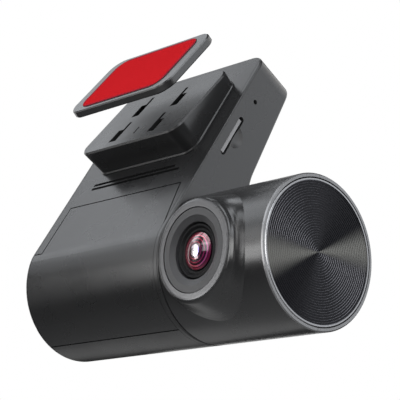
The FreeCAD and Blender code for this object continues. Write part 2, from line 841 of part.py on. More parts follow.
def barrel_solid():
    """Both halves of the barrel shell in one, hollow, with the lens boss."""
    radius = size("tube_radius")
    start = size("barrel_start")
    end = size("barrel_end")
    bevel = size("barrel_bevel")
    outer = revolved(
        [
            (start, 0),
            (start, radius - 0.4),
            (start + 0.4, radius),
            (end - bevel, radius),
            (end, radius - bevel),
            (end, 0),
        ]
    )
    boss = boss_solid()
    boss.Placement = LENS_IN_BARREL
    boss = boss.common(box_between((start, -BIG, -BIG), (end, 0, BIG)))
    solid = outer.fuse(boss)
    seat = end - 2.0
    hollow = revolved(
        [
            (-1, 0),
            (-1, radius - size("wall")),
            (seat, radius - size("wall")),
            (seat, size("cap_seat")),
            (end + 1, size("cap_seat")),
            (end + 1, 0),
        ]
    )
    solid = solid.cut(hollow)
    solid = solid.cut(rod(size("boss_opening"), vec(size("lens_along"), -8, 0), vec(0, -1, 0), 20))
    for angle in HUB_SCREW_ANGLES:
        turn = math.radians(angle)
        centre = vec(2.3, HUB_SCREW_RING * math.cos(turn), HUB_SCREW_RING * math.sin(turn))
        solid = solid.fuse(rod(2.1, centre, X_AXIS, 6.5)).cut(rod(PILOT_RADIUS, centre, X_AXIS, 5.5))
    return solid


barrel = barrel_solid()


def barrel_front_shell():
    shell = barrel.common(box_between((-BIG, -BIG, -BIG), (BIG, -SHELL_PARTING, BIG)))
    for across, up in SENSOR_SCREWS:
        centre = vec(size("lens_along") + across, -1.0, up)
        wall_reach = math.sqrt((size("tube_radius") - 1) ** 2 - up ** 2)
        shell = shell.fuse(rod(1.8, centre, vec(0, -1, 0), wall_reach - 1.0))
        shell = shell.cut(rod(PILOT_RADIUS, centre, vec(0, -1, 0), 4.5))
    return shell


def barrel_rear_shell():
    return barrel.common(box_between((-BIG, SHELL_PARTING, -BIG), (BIG, BIG, BIG)))


def barrel_hub():
    """The disc that closes the barrel and the hollow journal it turns on, with groove and lug."""
    journal = size("journal_radius")
    start = size("barrel_start") + 0.1
    hub = revolved(
        [
            (start, size("journal_bore")),
            (start + 1.9, size("journal_bore")),
            (start + 1.9, size("tube_radius") - size("wall") - 0.08),
            (start, size("tube_radius") - size("wall") - 0.08),
        ]
    )
    hub = hub.fuse(
        revolved(
            [
                (-7.9, size("journal_bore")),
                (start + 0.5, size("journal_bore")),
                (start + 0.5, journal),
                (-4.65, journal),
                (-4.65, journal - 0.5),
                (-5.45, journal - 0.5),
                (-5.45, journal),
                (-7.9, journal),
            ]
        )
    )
    hub = hub.fuse(sector(journal - 0.2, 9.6, -7.2, -5.8, LUG_ANGLE, LUG_HALF))
    for angle in HUB_SCREW_ANGLES:
        turn = math.radians(angle)
        centre = vec(-1, HUB_SCREW_RING * math.cos(turn), HUB_SCREW_RING * math.sin(turn))
        hub = hub.cut(rod(1.0, centre, X_AXIS, 10))
        hub = hub.cut(rod(1.75, centre, X_AXIS, 1 + start + 1.1))
    return hub


def retaining_ring():
    """A C-clip in the journal's groove."""
    clip = revolved([(-5.4, 5.55), (-4.7, 5.55), (-4.7, 8.0), (-5.4, 8.0)])
    return clip.cut(box_between((-BIG, -3.0, -BIG), (BIG, 3.0, 0)))


def end_disc():
    """The spun end disc: flat lands with a fine V groove between each pair."""
    face = size("barrel_end") - 0.2
    pitch = size("cap_pitch")
    depth = size("cap_groove")
    half = 0.11
    points = [(face - 1.0, 0.0), (face, 0.0)]
    count = int((size("cap_radius") - 0.3) / pitch)
    for i in range(1, count + 1):
        middle = i * pitch
        points += [(face, middle - half), (face - depth, middle), (face, middle + half)]
    points += [(face, size("cap_radius")), (face - 1.0, size("cap_radius"))]
    return revolved(points)


shaped("barrel_front_shell", barrel_front_shell(), HOME)
shaped("barrel_rear_shell", barrel_rear_shell(), HOME)
shaped("barrel_hub", barrel_hub(), HOME)
shaped("retaining_ring", retaining_ring(), HOME)
shaped("end_disc", end_disc(), HOME)
ring(
    "end_plate",
    HOME,
    named("barrel_end - 2.0"),
    named("barrel_end - 1.2"),
    "0",
    named("cap_seat - 0.08"),
)
turned(
    "end_ring",
    HOME,
    [
        (named("barrel_end - 1.2"), named("cap_radius + 0.05")),
        (named("barrel_end - 0.02"), named("cap_radius + 0.05")),
        (named("barrel_end - 0.02"), named("cap_radius + 0.4")),
        (named("barrel_end - 0.2"), named("cap_radius + 0.58")),
        (named("barrel_end - 1.2"), named("cap_radius + 0.58")),
    ],
)
ring("friction_washer", HOME, "-4.62", "-4.03", named("journal_radius + 0.15"), "8.4")


# ---------------------------------------------------------------- lens

def common_of(label, frame, first, second):
    """A sub-part that is the common volume of two Part primitives."""
    both = doc.addObject("Part::Common", label)
    both.Base = first
    both.Tool = second
    return keep(both, label, frame)


def element(label, back, thick, bulge):
    """A lens element: a disc whose front is a dome of radius bulge; lens frame, x forward."""
    disc = doc.addObject("Part::Cylinder", label + "_disc")
    disc.setExpression("Radius", named("glass_radius"))
    disc.setExpression("Height", thick)
    disc.Placement = FreeCAD.Placement(vec(back, 0, 0), FreeCAD.Rotation(Y_AXIS, 90))
    ball = doc.addObject("Part::Sphere", label + "_ball")
    ball.Radius = bulge
    ball.Placement = FreeCAD.Placement(vec(back + float(thick) - bulge, 0, 0), FreeCAD.Rotation())
    return common_of(label, LENS, disc, ball)


turned(
    "lens_bezel",
    LENS,
    [
        ("15.2", named("throat_radius")),
        (named("boss_front - 0.85"), named("throat_radius")),
        (named("boss_front - 0.12"), named("annulus_inner")),
        (named("boss_front - 0.12"), named("boss_opening - 0.22")),
        (named("boss_front - 0.27"), named("boss_opening - 0.07")),
        ("15.2", named("boss_opening - 0.07")),
    ],
)
turned(
    "lens_tube",
    LENS,
    [
        ("4.4", "4.4"),
        ("17.0", "4.4"),
        ("17.0", "5.3"),
        ("17.85", "5.3"),
        (named("tube_front"), "5.75"),
        (named("tube_front"), "6.15"),
        (named("tube_front - 0.25"), "6.4"),
        ("4.4", "6.4"),
    ],
)
turned(
    "lens_retainer",
    LENS,
    [("17.05", "4.45"), ("17.5", "4.45"), ("17.8", "4.75"), ("17.8", "5.25"), ("17.05", "5.25")],
)
element("front_lens", 16.8, "2.2", 8.5)
ring("lens_spacer", LENS, "15.5", "16.75", "3.4", named("glass_radius"))
element("middle_lens", 12.9, "2.5", 7.0)
element("rear_lens", 7.0, "3.0", 9.0)


def lens_holder():
    """The square foot over the sensor and the threaded collar for the lens tube; lens face frame."""
    holder = box_between((-7.5, -7.5, 1.0), (7.5, 7.5, 4.0))
    holder = holder.fuse(rod(7.8, vec(0, 0, 3.9), Z_AXIS, 6.1))
    holder = holder.cut(box_between((-5.2, -5.2, 0), (5.2, 5.2, 3.4)))
    holder = holder.cut(rod(6.45, vec(0, 0, 4.0), Z_AXIS, 10))
    return holder.cut(rod(4.2, vec(0, 0, 3.0), Z_AXIS, 10))


shaped("lens_holder", lens_holder(), LENS_FACE)
brick("ir_filter", LENS_FACE, (-4.6, -4.6, 3.05), ("9.2", "9.2", "0.3"))
brick("image_sensor", LENS_FACE, (-4.2, -3.6, 1.0), ("8.4", "7.2", "1.1"))
slab(
    "sensor_board",
    LENS_FACE,
    rectangle("-10", "-12", "20", "24"),
    "0",
    "1",
    [(str(across), str(up), str(CLEAR_RADIUS)) for across, up in SENSOR_SCREWS],
)
brick("sensor_flex", HOME, (-15.0, -0.08, -3.0), ("18.7", "0.16", "6"))


# ---------------------------------------------------------------- electronics in the housing

slab(
    "main_board",
    TONGUE,
    [("-47", "-4"), ("-3.2", "-4"), ("-3.2", "51"), ("-45", "51"), ("-47", "49")],
    str(BOARD_LOW),
    "1",
    [(str(across), str(up), str(CLEAR_RADIUS)) for across, up in BOARD_SCREWS],
)
brick("processor", TONGUE, (-35.0, 0.0, 10.6), ("14", "14", "1.3"))
brick("thermal_pad", TONGUE, (-34.0, 1.0, 9.6), ("12", "12", "1"))


def heat_sink():
    sink = box_between((-38.0, -3.0, 8.4), (-18.0, 17.0, 9.6))
    for i in range(7):
        low = -3.0 + i * 3.1
        sink = sink.fuse(box_between((-38.0, low, 5.0), (-18.0, low + 1.2, 8.5)))
    return sink


shaped("heat_sink", heat_sink(), TONGUE)
brick("memory_chip", TONGUE, (-18.0, 6.0, 10.9), ("9", "11", "1"))
brick("power_chip", TONGUE, (-44.0, 6.0, 11.0), ("5", "5", "0.9"))
brick("inductor", TONGUE, (-44.5, 24.0, 9.4), ("5", "5", "2.5"))
brick("shield_can", TONGUE, (-41.0, 0.0, 12.9), ("17", "10", "1.6"))
brick("speaker", TONGUE, (-34.5, 27.0, 12.9), ("16.5", "13", "2.6"))
brick("microphone", TONGUE, (-30.0, 45.0, 12.9), ("4", "3", "1.1"))
brick("antenna", TONGUE, (-38.0, 51.6, 11.0), ("22", "0.6", "4.5"))


def card_socket():
    half = 6.75
    along = size("slot_centre")
    level = size("card_plane")
    case = box_between((-16.9, along - half, BOARD_HIGH), (-2.4, along + half, level + 0.85))
    return case.cut(box_between((-16.2, along - 5.6, level - 0.45), (0, along + 5.6, level + 0.45)))


shaped("card_socket", card_socket(), TONGUE)


def memory_card():
    """A card with one stepped long edge and a raised grip along its outer end."""
    body = doc.addObject("PartDesign::Body", "memory_card")
    low = named("slot_centre - 5.5")
    high = named("slot_centre + 5.5")
    step = named("slot_centre + 4.7")
    narrow = named("slot_centre + 4.2")
    outline = [("-15.3", low), ("-0.3", low), ("-0.3", high), ("-7", high)]
    outline += [("-7.8", step), ("-9.4", step), ("-9.9", narrow), ("-15.3", narrow)]
    sketch = add_sketch(body, "card_outline", lift=named("card_plane - 0.35"))
    draw_polygon(sketch, outline)
    pad_on(body, "card_pad", sketch, "0.7")
    grip = add_sketch(body, "grip_outline", lift=named("card_plane + 0.35"))
    draw_polygon(grip, rectangle("-1.5", low, "1.2", "11"))
    pad_on(body, "grip_pad", grip, "0.3")
    return keep(body, "memory_card", TONGUE)


memory_card()


PLUNGER_LEVEL = size("pinhole_level") + 0.2


def reset_switch():
    """The switch case, with a hole for its plunger."""
    along = size("pinhole_along")
    case = box_between((-6.8, along - 1.9, BOARD_HIGH), (-3.4, along + 1.9, 14.6))
    return case.cut(rod(0.58, vec(-5.2, along, PLUNGER_LEVEL), X_AXIS, 3))


shaped("reset_switch", reset_switch(), TONGUE)
plunger_spot = FreeCAD.Placement(vec(0, size("pinhole_along"), PLUNGER_LEVEL), FreeCAD.Rotation())
ring("reset_plunger", TONGUE.multiply(plunger_spot), "-4.6", "-2.3", "0", "0.5")

def power_socket():
    shell = rounded_slot(8.94, 3.26, -50.7, -43.2, SOCKET_ALONG, SOCKET_LEVEL)
    return shell.cut(rounded_slot(8.34, 2.66, -51.0, -44.0, SOCKET_ALONG, SOCKET_LEVEL))


def power_contacts():
    low = (-49.6, SOCKET_ALONG - 3.3, SOCKET_LEVEL - 0.35)
    return box_between(low, (-44.0, SOCKET_ALONG + 3.3, SOCKET_LEVEL + 0.35))


shaped("power_socket", power_socket(), TONGUE)
shaped("power_contacts", power_contacts(), TONGUE)

CAPACITORS = {"upper": (-7.0, -5.8), "lower": (4.6, -8.3)}
CAPACITOR_RADIUS = 5.0


def capacitor(label, along, level):
    can = doc.addObject("Part::Cylinder", label)
    can.Radius = CAPACITOR_RADIUS
    can.Height = 22
    spot = FreeCAD.Placement(vec(-43, along, level), FreeCAD.Rotation(Y_AXIS, 90))
    keep(can, label, TONGUE.multiply(spot))


for name, (along, level) in CAPACITORS.items():
    capacitor("capacitor_" + name, along, level)


def capacitor_cradle():
    radius = size("tube_radius") - size("wall") - size("cover_lip") - 0.2
    cradle = rod(radius, vec(-42, 0, 0), X_AXIS, 20)
    cradle = cradle.common(box_between((-BIG, -9.5, -BIG), (BIG, 8.0, -5.5)))
    for along, level in CAPACITORS.values():
        cradle = cradle.cut(rod(CAPACITOR_RADIUS + 0.03, vec(-50, along, level), X_AXIS, 60))
    return max(cradle.Solids, key=lambda solid: solid.Volume)


shaped("capacitor_cradle", capacitor_cradle(), TONGUE)


def half_turn(radius, thick, centre, width, upper):
    """Half of a thin tube round the x axis, above or below its centre."""
    tube = rod(radius + thick / 2, centre, X_AXIS, width)
    tube = tube.cut(rod(radius - thick / 2, centre, X_AXIS, width))
    low = 0 if upper else -BIG
    return tube.common(box_between((-BIG, -BIG, low), (BIG, BIG, low + BIG)))


def ribbon_cable():
    """The flat cable's clock-spring coil round the axis, then its run up to the board."""
    thick = 0.2
    step = 0.55
    turns = 7
    start = -14.6
    width = 5.0
    first = 3.7
    halves = []
    for i in range(turns):
        side = 1 if i % 2 else -1
        centre = vec(start, side * step / 2, 0)
        halves.append(half_turn(first + i * step, thick, centre, width, side < 0))
    coil = halves[0].multiFuse(halves[1:])
    tail_y = -step / 2 - first - (turns - 1) * step
    tail_low = (start, tail_y - thick / 2, -thick)
    return coil.fuse(box_between(tail_low, (start + width, tail_y + thick / 2, 0.01)))


shaped("ribbon_cable", ribbon_cable(), TONGUE)
brick("ribbon_connector", TONGUE, (-15.0, -3.5, 10.3), ("6", "4", "1.6"))


# ---------------------------------------------------------------- screws

def screw(head, direction, head_radius, head_length, shank_radius, shank_length):
    """A pan-head screw; head is the point where head meets shank, direction the way it drives."""
    way = vec(*direction)
    top = rod(head_radius, head - way * head_length, way, head_length)
    recess = rod(head_radius * 0.45, head - way * head_length, way, head_length * 0.55)
    return top.cut(recess).fuse(rod(shank_radius, head - way * 0.05, way, shank_length + 0.05))


def screw_group(label, frame, screws):
    shaped(label, Part.makeCompound(screws), frame)


screw_group(
    "board_screws",
    TONGUE,
    [screw(vec(x, y, BOARD_LOW), (0, 0, 1), 1.7, 1.1, SHANK_RADIUS, 3.2) for x, y in BOARD_SCREWS],
)
screw_group(
    "block_screws",
    TONGUE,
    [screw(vec(x, y, inner_top), (0, 0, 1), 1.7, 1.2, SHANK_RADIUS, 4.6) for x, y in BLOCK_SCREWS],
)
screw_group(
    "side_plate_screws",
    TONGUE,
    [
        screw(on_ring(angle, SIDE_SCREW_RING, -0.8), (-1, 0, 0), 1.7, 0.7, SHANK_RADIUS, 6.0)
        for angle in SIDE_SCREW_ANGLES
    ],
)
seat_level = size("barrel_start") + 1.2
screw_group(
    "hub_screws",
    TONGUE,
    [
        screw(on_ring(angle, HUB_SCREW_RING, seat_level), (1, 0, 0), 1.65, 0.9, SHANK_RADIUS, 5.0)
        for angle in HUB_SCREW_ANGLES
    ],
)
screw_group(
    "sensor_screws",
    LENS_FACE,
    [screw(vec(x, y, 0), (0, 0, 1), 1.6, 1.0, SHANK_RADIUS, 4.2) for x, y in SENSOR_SCREWS],
)


def write_nodes():
    """Recompute, check every object and every sub-part, then write one file for each node."""
    doc.recompute()
    for thing in doc.Objects:
        if "Invalid" in thing.State or "Error" in thing.State:
            raise RuntimeError("%s is in a failed state: %s" % (thing.Label, thing.State))
    os.makedirs("parts", exist_ok=True)
    for thing in nodes:
        shape = thing.Shape
        if shape.isNull() or not shape.isValid():
            raise RuntimeError("%s has no valid shape" % thing.Label)
        print("%-22s volume %9.2f solids %d" % (thing.Label, shape.Volume, len(shape.Solids)))
        shape.exportStep("parts/%s.step" % thing.Label)
    print("%d nodes written" % len(nodes))


write_nodes()
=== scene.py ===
import json
import math

import bpy
from mathutils import Matrix, Vector


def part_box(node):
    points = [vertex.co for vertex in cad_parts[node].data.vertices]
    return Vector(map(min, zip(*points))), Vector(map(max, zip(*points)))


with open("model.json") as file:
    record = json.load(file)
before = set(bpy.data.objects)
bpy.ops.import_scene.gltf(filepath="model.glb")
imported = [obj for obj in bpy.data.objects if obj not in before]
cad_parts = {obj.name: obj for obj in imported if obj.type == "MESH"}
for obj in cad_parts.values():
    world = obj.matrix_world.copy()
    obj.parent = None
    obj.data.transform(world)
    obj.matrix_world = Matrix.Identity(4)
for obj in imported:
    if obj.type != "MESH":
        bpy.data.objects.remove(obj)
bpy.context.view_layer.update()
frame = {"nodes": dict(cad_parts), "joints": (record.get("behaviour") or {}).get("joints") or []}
nodes = frame["nodes"]

MM = 0.001
UM = 0.000001


# ---------------------------------------------------------------- measures from the frame

barrel_turn = next(joint for joint in frame["joints"] if joint["name"] == "barrel_turn")
BARREL_AXIS = Vector(barrel_turn["pos_m"])
bezel_low, bezel_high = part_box("lens_bezel")
LENS_X = (bezel_low.x + bezel_high.x) / 2
LENS_Z = (bezel_low.z + bezel_high.z) / 2
shell_low, shell_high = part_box("barrel_front_shell")
BOSS_FACE = shell_low.y
BARREL_END = shell_high.x
LINER_LOW, LINER_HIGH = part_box("release_liner")
glass_low, glass_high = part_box("front_lens")
GLASS_RADIUS = (glass_high.x - glass_low.x) / 2


# ---------------------------------------------------------------- node helpers

class Graph:
    """A material's node tree, with short calls for the nodes used here."""

    def __init__(self, name):
        self.material = bpy.data.materials.new(name)
        self.material.use_nodes = True
        self.tree = self.material.node_tree
        self.tree.nodes.clear()
        output = self.add("ShaderNodeOutputMaterial")
        self.shader = self.add("ShaderNodeBsdfPrincipled")
        self.link(self.shader.outputs["BSDF"], output.inputs["Surface"])
        self.coordinates = self.add("ShaderNodeTexCoord").outputs["Object"]

    def add(self, kind, **settings):
        node = self.tree.nodes.new(kind)
        for key, value in settings.items():
            setattr(node, key, value)
        return node

    def link(self, source, target):
        self.tree.links.new(source, target)

    def feed(self, socket, value):
        """Link a socket to another node's output, or set it to a plain value."""
        if isinstance(value, bpy.types.NodeSocket):
            self.link(value, socket)
        else:
            socket.default_value = value

    def set(self, **values):
        """Feed the shader's sockets, with _ for a space in a socket's name."""
        for key, value in values.items():
            self.feed(self.shader.inputs[key.replace("_", " ")], value)

    def calc(self, operation, *values):
        node = self.add("ShaderNodeMath", operation=operation)
        for socket, value in zip(node.inputs, values):
            self.feed(socket, value)
        return node.outputs[0]

    def mapped(self, value, low, high, out_low, out_high, smooth=False):
        kind = "SMOOTHSTEP" if smooth else "LINEAR"
        node = self.add("ShaderNodeMapRange", interpolation_type=kind)
        for socket, number in zip(node.inputs, (value, low, high, out_low, out_high)):
            self.feed(socket, number)
        return node.outputs["Result"]

    def noise(self, per_metre, detail=2.0, roughness=0.5, stretch=None):
        node = self.add("ShaderNodeTexNoise")
        node.inputs["Scale"].default_value = per_metre
        node.inputs["Detail"].default_value = detail
        node.inputs["Roughness"].default_value = roughness
        place = self.coordinates
        if stretch:
            mapping = self.add("ShaderNodeMapping")
            mapping.inputs["Scale"].default_value = stretch
            self.link(place, mapping.inputs["Vector"])
            place = mapping.outputs["Vector"]
        self.link(place, node.inputs["Vector"])
        return node.outputs["Fac"]

    def mix(self, factor, first, second, blend="MIX"):
        node = self.add("ShaderNodeMix", data_type="RGBA", blend_type=blend)
        self.feed(node.inputs["Factor"], factor)
        colour_inputs = [socket for socket in node.inputs if socket.type == "RGBA"]
        for socket, value in zip(colour_inputs, (first, second)):
            is_colour = isinstance(value, tuple)
            self.feed(socket, (*value, 1.0) if is_colour else value)
        return next(socket for socket in node.outputs if socket.type == "RGBA")

    def varied(self, factor, colour, amount):
        """A colour that drifts by the given share, darker to lighter, with the factor."""
        return self.mix(factor, tint(colour, 1 - amount), tint(colour, 1 + amount))

    def ramp(self, value, stops):
        node = self.add("ShaderNodeValToRGB")
        points = node.color_ramp.elements
        while len(points) < len(stops):
            points.new(0.5)
        for point, (place, colour) in zip(points, stops):
            point.position = place
            point.color = (*colour, 1.0)
        self.link(value, node.inputs[0])
        return node.outputs["Color"]

    def bump(self, height, distance, strength=1.0):
        node = self.add("ShaderNodeBump")
        node.inputs["Strength"].default_value = strength
        node.inputs["Distance"].default_value = distance
        self.link(height, node.inputs["Height"])
        return node.outputs["Normal"]

    def axes(self):
        node = self.add("ShaderNodeSeparateXYZ")
        self.link(self.coordinates, node.inputs[0])
        return node.outputs

    def from_axis(self, first, second, centre_first, centre_second):
        """Distance and angle, in radians, round a line through the given centre."""
        across = self.calc("SUBTRACT", first, centre_first)
        up = self.calc("SUBTRACT", second, centre_second)
        across_squared = self.calc("MULTIPLY", across, across)
        up_squared = self.calc("MULTIPLY", up, up)
        radius = self.calc("SQRT", self.calc("ADD", across_squared, up_squared))
        return radius, self.calc("ARCTAN2", up, across)


def tint(colour, amount):
    return tuple(min(1.0, channel * amount) for channel in colour)


# ---------------------------------------------------------------- kinds of material

# The middle part of a noise's output, which is stretched over a range of roughness.
NOISE_LOW, NOISE_HIGH = 0.3, 0.7


def plastic(name, colour, rough, grain=4 * UM, pitch=5200.0, specular=0.5):
    """Moulded plastic with a fine spark-eroded grain and a slow drift in colour and gloss."""
    drift_per_metre = 90.0
    drift_colour = 0.10
    drift_rough = 0.03
    g = Graph(name)
    drift = g.noise(drift_per_metre, detail=3.0)
    texture = g.noise(pitch, roughness=0.6)
    g.set(
        Base_Color=g.varied(drift, colour, drift_colour),
        Roughness=g.mapped(drift, NOISE_LOW, NOISE_HIGH, rough - drift_rough, rough + drift_rough),
        Specular_IOR_Level=specular,
        Normal=g.bump(texture, grain),
    )
    return g


def metal(name, colour, rough, streak=(1.0, 1.0, 1.0)):
    """Bare or plated metal with fine drawn streaks."""
    drift_per_metre = 200.0
    drift_colour = 0.12
    streaks_per_metre = 2500.0
    streak_rough = 0.07
    streak_depth = 3 * UM
    g = Graph(name)
    drift = g.noise(drift_per_metre, detail=3.0)
    streaks = g.noise(streaks_per_metre, detail=3.0, roughness=0.6, stretch=streak)
    g.set(
        Base_Color=g.varied(drift, colour, drift_colour),
        Metallic=1.0,
        Roughness=g.mapped(
            streaks, NOISE_LOW, NOISE_HIGH, rough - streak_rough, rough + streak_rough
        ),
        Normal=g.bump(streaks, streak_depth),
    )
    return g


def glass(name, colour):
    """Clear coated glass with a faint unevenness in its colour."""
    haze_per_metre = 400.0
    haze_colour = 0.03
    g = Graph(name)
    haze = g.noise(haze_per_metre)
    g.set(
        Base_Color=g.varied(haze, colour, haze_colour),
        Roughness=0.03,
        IOR=1.55,
        Transmission_Weight=1.0,
    )
    return g


# ---------------------------------------------------------------- materials of single parts

SHELL = (0.015, 0.015, 0.0155)


def barrel_finish():
    """The shell's satin finish, with a paler metallic finish on the end rim, and a paler, half
    metallic boss face as a painted highlight.
    """
    # the boss face's paler colour is a painted highlight; being half metallic, part of its
    # brightness is real reflection
    face_highlight_colour = (0.075, 0.075, 0.078)
    rim_colour = (0.16, 0.16, 0.163)
    cut_metallic = 0.5
    # where the painted face highlight and the rim's finish start and are whole, behind the boss
    # face and inside the barrel's end
    face_whole, face_ends = 0.10 * MM, 0.16 * MM
    rim_starts, rim_whole = 0.30 * MM, 0.22 * MM
    g = plastic("satin_barrel", SHELL, rough=0.26, specular=0.6)
    x, y, z = g.axes()
    face_highlight = g.mapped(y, BOSS_FACE + face_whole, BOSS_FACE + face_ends, 1.0, 0.0)
    rim = g.mapped(x, BARREL_END - rim_starts, BARREL_END - rim_whole, 0.0, 1.0)
    satin = g.shader.inputs["Base Color"].links[0].from_socket
    g.set(
        Base_Color=g.mix(rim, g.mix(face_highlight, satin, face_highlight_colour), rim_colour),
        Metallic=g.calc("MULTIPLY", g.calc("MAXIMUM", face_highlight, rim), cut_metallic),
    )
    return g


def liner_film():
    """Red release film: faintly clouded and wavy, with a darker band along its cut edge."""
    film_dark = (0.39, 0.010, 0.013)
    film_light = (0.44, 0.012, 0.016)
    edge_colour = (0.20, 0.018, 0.030)
    edge_band = 1.3 * MM
    corner_round = 3.0 * MM
    wave_depth = 30 * UM
    g = Graph("red_liner")
    wave = g.noise(160.0, detail=1.0, roughness=0.4, stretch=(1.0, 2.2, 1.0))
    cloud = g.noise(60.0)
    # the distance from the film's outline, measured along x and along the film's slope
    x, y, z = g.axes()
    span = LINER_HIGH - LINER_LOW
    lean = math.atan2(span.z, span.y)
    slope = g.calc(
        "ADD",
        g.calc("MULTIPLY", y, math.cos(lean)),
        g.calc("MULTIPLY", z, math.sin(lean)),
    )
    half_width = span.x / 2
    half_depth = math.hypot(span.y, span.z) / 2
    from_side = g.calc("SUBTRACT", half_width, g.calc("ABSOLUTE", x))
    from_end = g.calc("SUBTRACT", half_depth, g.calc("ABSOLUTE", slope))
    from_edge = g.calc("SMOOTH_MIN", from_side, from_end, corner_round)
    edge = g.mapped(from_edge, 0.0, edge_band, 1.0, 0.0, smooth=True)
    g.set(
        Base_Color=g.mix(edge, g.mix(cloud, film_dark, film_light), edge_colour),
        Roughness=g.mapped(cloud, NOISE_LOW, NOISE_HIGH, 0.42, 0.50),
        Specular_IOR_Level=0.0,
        Normal=g.bump(wave, wave_depth, 0.5),
    )
    return g


def spun_disc():
    """Black anodised metal turned on a lathe.

    It has fine rings and painted highlights: two pale sectors that face each other across the
    middle, standing in for a turned face's bow-tie reflection, and glints on the ring lines beside
    them.
    """
    sector_turn = math.radians(12)
    groove_pitch = 0.585 * MM
    groove_line = 0.24
    dark_low = (0.007, 0.007, 0.0085)
    dark_high = (0.011, 0.011, 0.013)
    # the ring line colour and the two sector colours are painted highlights: glints on the turned
    # rings and the turned face's bow-tie reflection
    line_glint_colour = (0.26, 0.26, 0.285)
    painted_sector_colour = (0.128, 0.126, 0.117)
    painted_sector_lines_colour = (0.165, 0.163, 0.153)
    g = Graph("spun_disc")
    x, y, z = g.axes()
    radius, angle = g.from_axis(y, z, BARREL_AXIS.y, BARREL_AXIS.z)
    turned = g.calc("SUBTRACT", angle, sector_turn)
    # from -90 to 90 degrees, 0 in the middle of a sector of painted highlight and the same on both
    # sides
    sector = g.calc("WRAP", turned, math.radians(90), math.radians(-90))

    def step(first, last, at_first, at_last):
        return g.mapped(
            sector, math.radians(first), math.radians(last), at_first, at_last, smooth=True
        )

    # two opposite sectors of painted highlight, for the bow-tie reflection of the turned face
    painted_sector = g.calc("MULTIPLY", step(2, 22, 1.0, 0.0), step(-24, -2, 0.0, 1.0))
    # painted glints on the ring lines, in the quadrants beside the sectors
    painted_glint_above = step(35, 90, 0.0, 0.8)
    painted_glint_below = g.calc("MULTIPLY", step(0, -24, 0.0, 1.0), step(-85, -50, 0.8, 1.0))
    painted_glint = g.calc("ADD", painted_glint_above, painted_glint_below)
    groove = g.calc("PINGPONG", g.calc("DIVIDE", radius, groove_pitch), 0.5)
    line = g.mapped(groove, 0.0, groove_line, 1.0, 0.0, smooth=True)
    dark = g.mix(g.noise(900.0, detail=3.0), dark_low, dark_high)
    glinting_lines = g.mix(g.calc("MULTIPLY", line, painted_glint), dark, line_glint_colour)
    painted_sector_look = g.mix(line, painted_sector_colour, painted_sector_lines_colour)
    tangent = g.add("ShaderNodeTangent", direction_type="RADIAL", axis="X")
    g.set(
        Base_Color=g.mix(painted_sector, glinting_lines, painted_sector_look),
        Metallic=1.0,
        Roughness=0.36,
        Anisotropic=0.6,
        Tangent=tangent.outputs[0],
    )
    return g


# The front element's colours: share of its radius from the centre, and colour. The pale middle
# mirrors the lamps; the red rings further out are painted reflections of the inner elements'
# coatings.
MIDDLE_AND_PAINTED_RINGS = [
    (0.00, (0.90, 0.86, 0.90)),
    (0.27, (0.80, 0.68, 0.74)),
    (0.34, (0.04, 0.010, 0.018)),
    (0.42, (0.03, 0.004, 0.010)),
    (0.46, (0.40, 0.04, 0.08)),
    (0.50, (0.03, 0.004, 0.010)),
    (0.60, (0.03, 0.004, 0.010)),
    (0.64, (0.50, 0.04, 0.09)),
    (0.68, (0.03, 0.004, 0.010)),
    (0.76, (0.03, 0.003, 0.009)),
    (0.81, (0.80, 0.16, 0.22)),
    (0.86, (0.05, 0.005, 0.012)),
    (0.94, (0.30, 0.012, 0.045)),
    (1.00, (0.01, 0.002, 0.004)),
]


def front_with_painted_rings():
    """The front element.

    It is dark glass under a clear skin, with a pale, mirror-like middle and painted red rings,
    tinted violet on one side, that stand in for reflections of the inner elements' coatings.
    """
    white = (1.0, 1.0, 1.0)
    painted_violet = (0.35, 0.25, 1.2)
    painted_violet_turn = math.radians(20)
    # the bright middle ends between these shares of the radius
    middle, dark = 0.28, 0.42
    g = Graph("front_with_painted_rings")
    x, y, z = g.axes()
    radius, angle = g.from_axis(x, z, LENS_X, LENS_Z)
    share = g.calc("DIVIDE", radius, GLASS_RADIUS)
    # painted reflections: red rings by share of the radius
    painted_rings = g.ramp(share, MIDDLE_AND_PAINTED_RINGS)
    # a painted violet glint on one side of the element
    side = g.calc("COSINE", g.calc("ADD", angle, painted_violet_turn))
    painted_violet_tint = g.mix(g.mapped(side, 0.2, 0.9, 0.0, 0.7, smooth=True), white, painted_violet)
    g.set(
        Base_Color=g.mix(1.0, painted_rings, painted_violet_tint, "MULTIPLY"),
        Metallic=g.mapped(share, middle, dark, 1.0, 0.35, smooth=True),
        Roughness=g.mapped(share, middle, dark, 0.20, 0.22),
        Coat_Weight=1.0,
        Coat_Roughness=0.03,
        Coat_IOR=1.8,
    )
    return g


# ---------------------------------------------------------------- every node's material

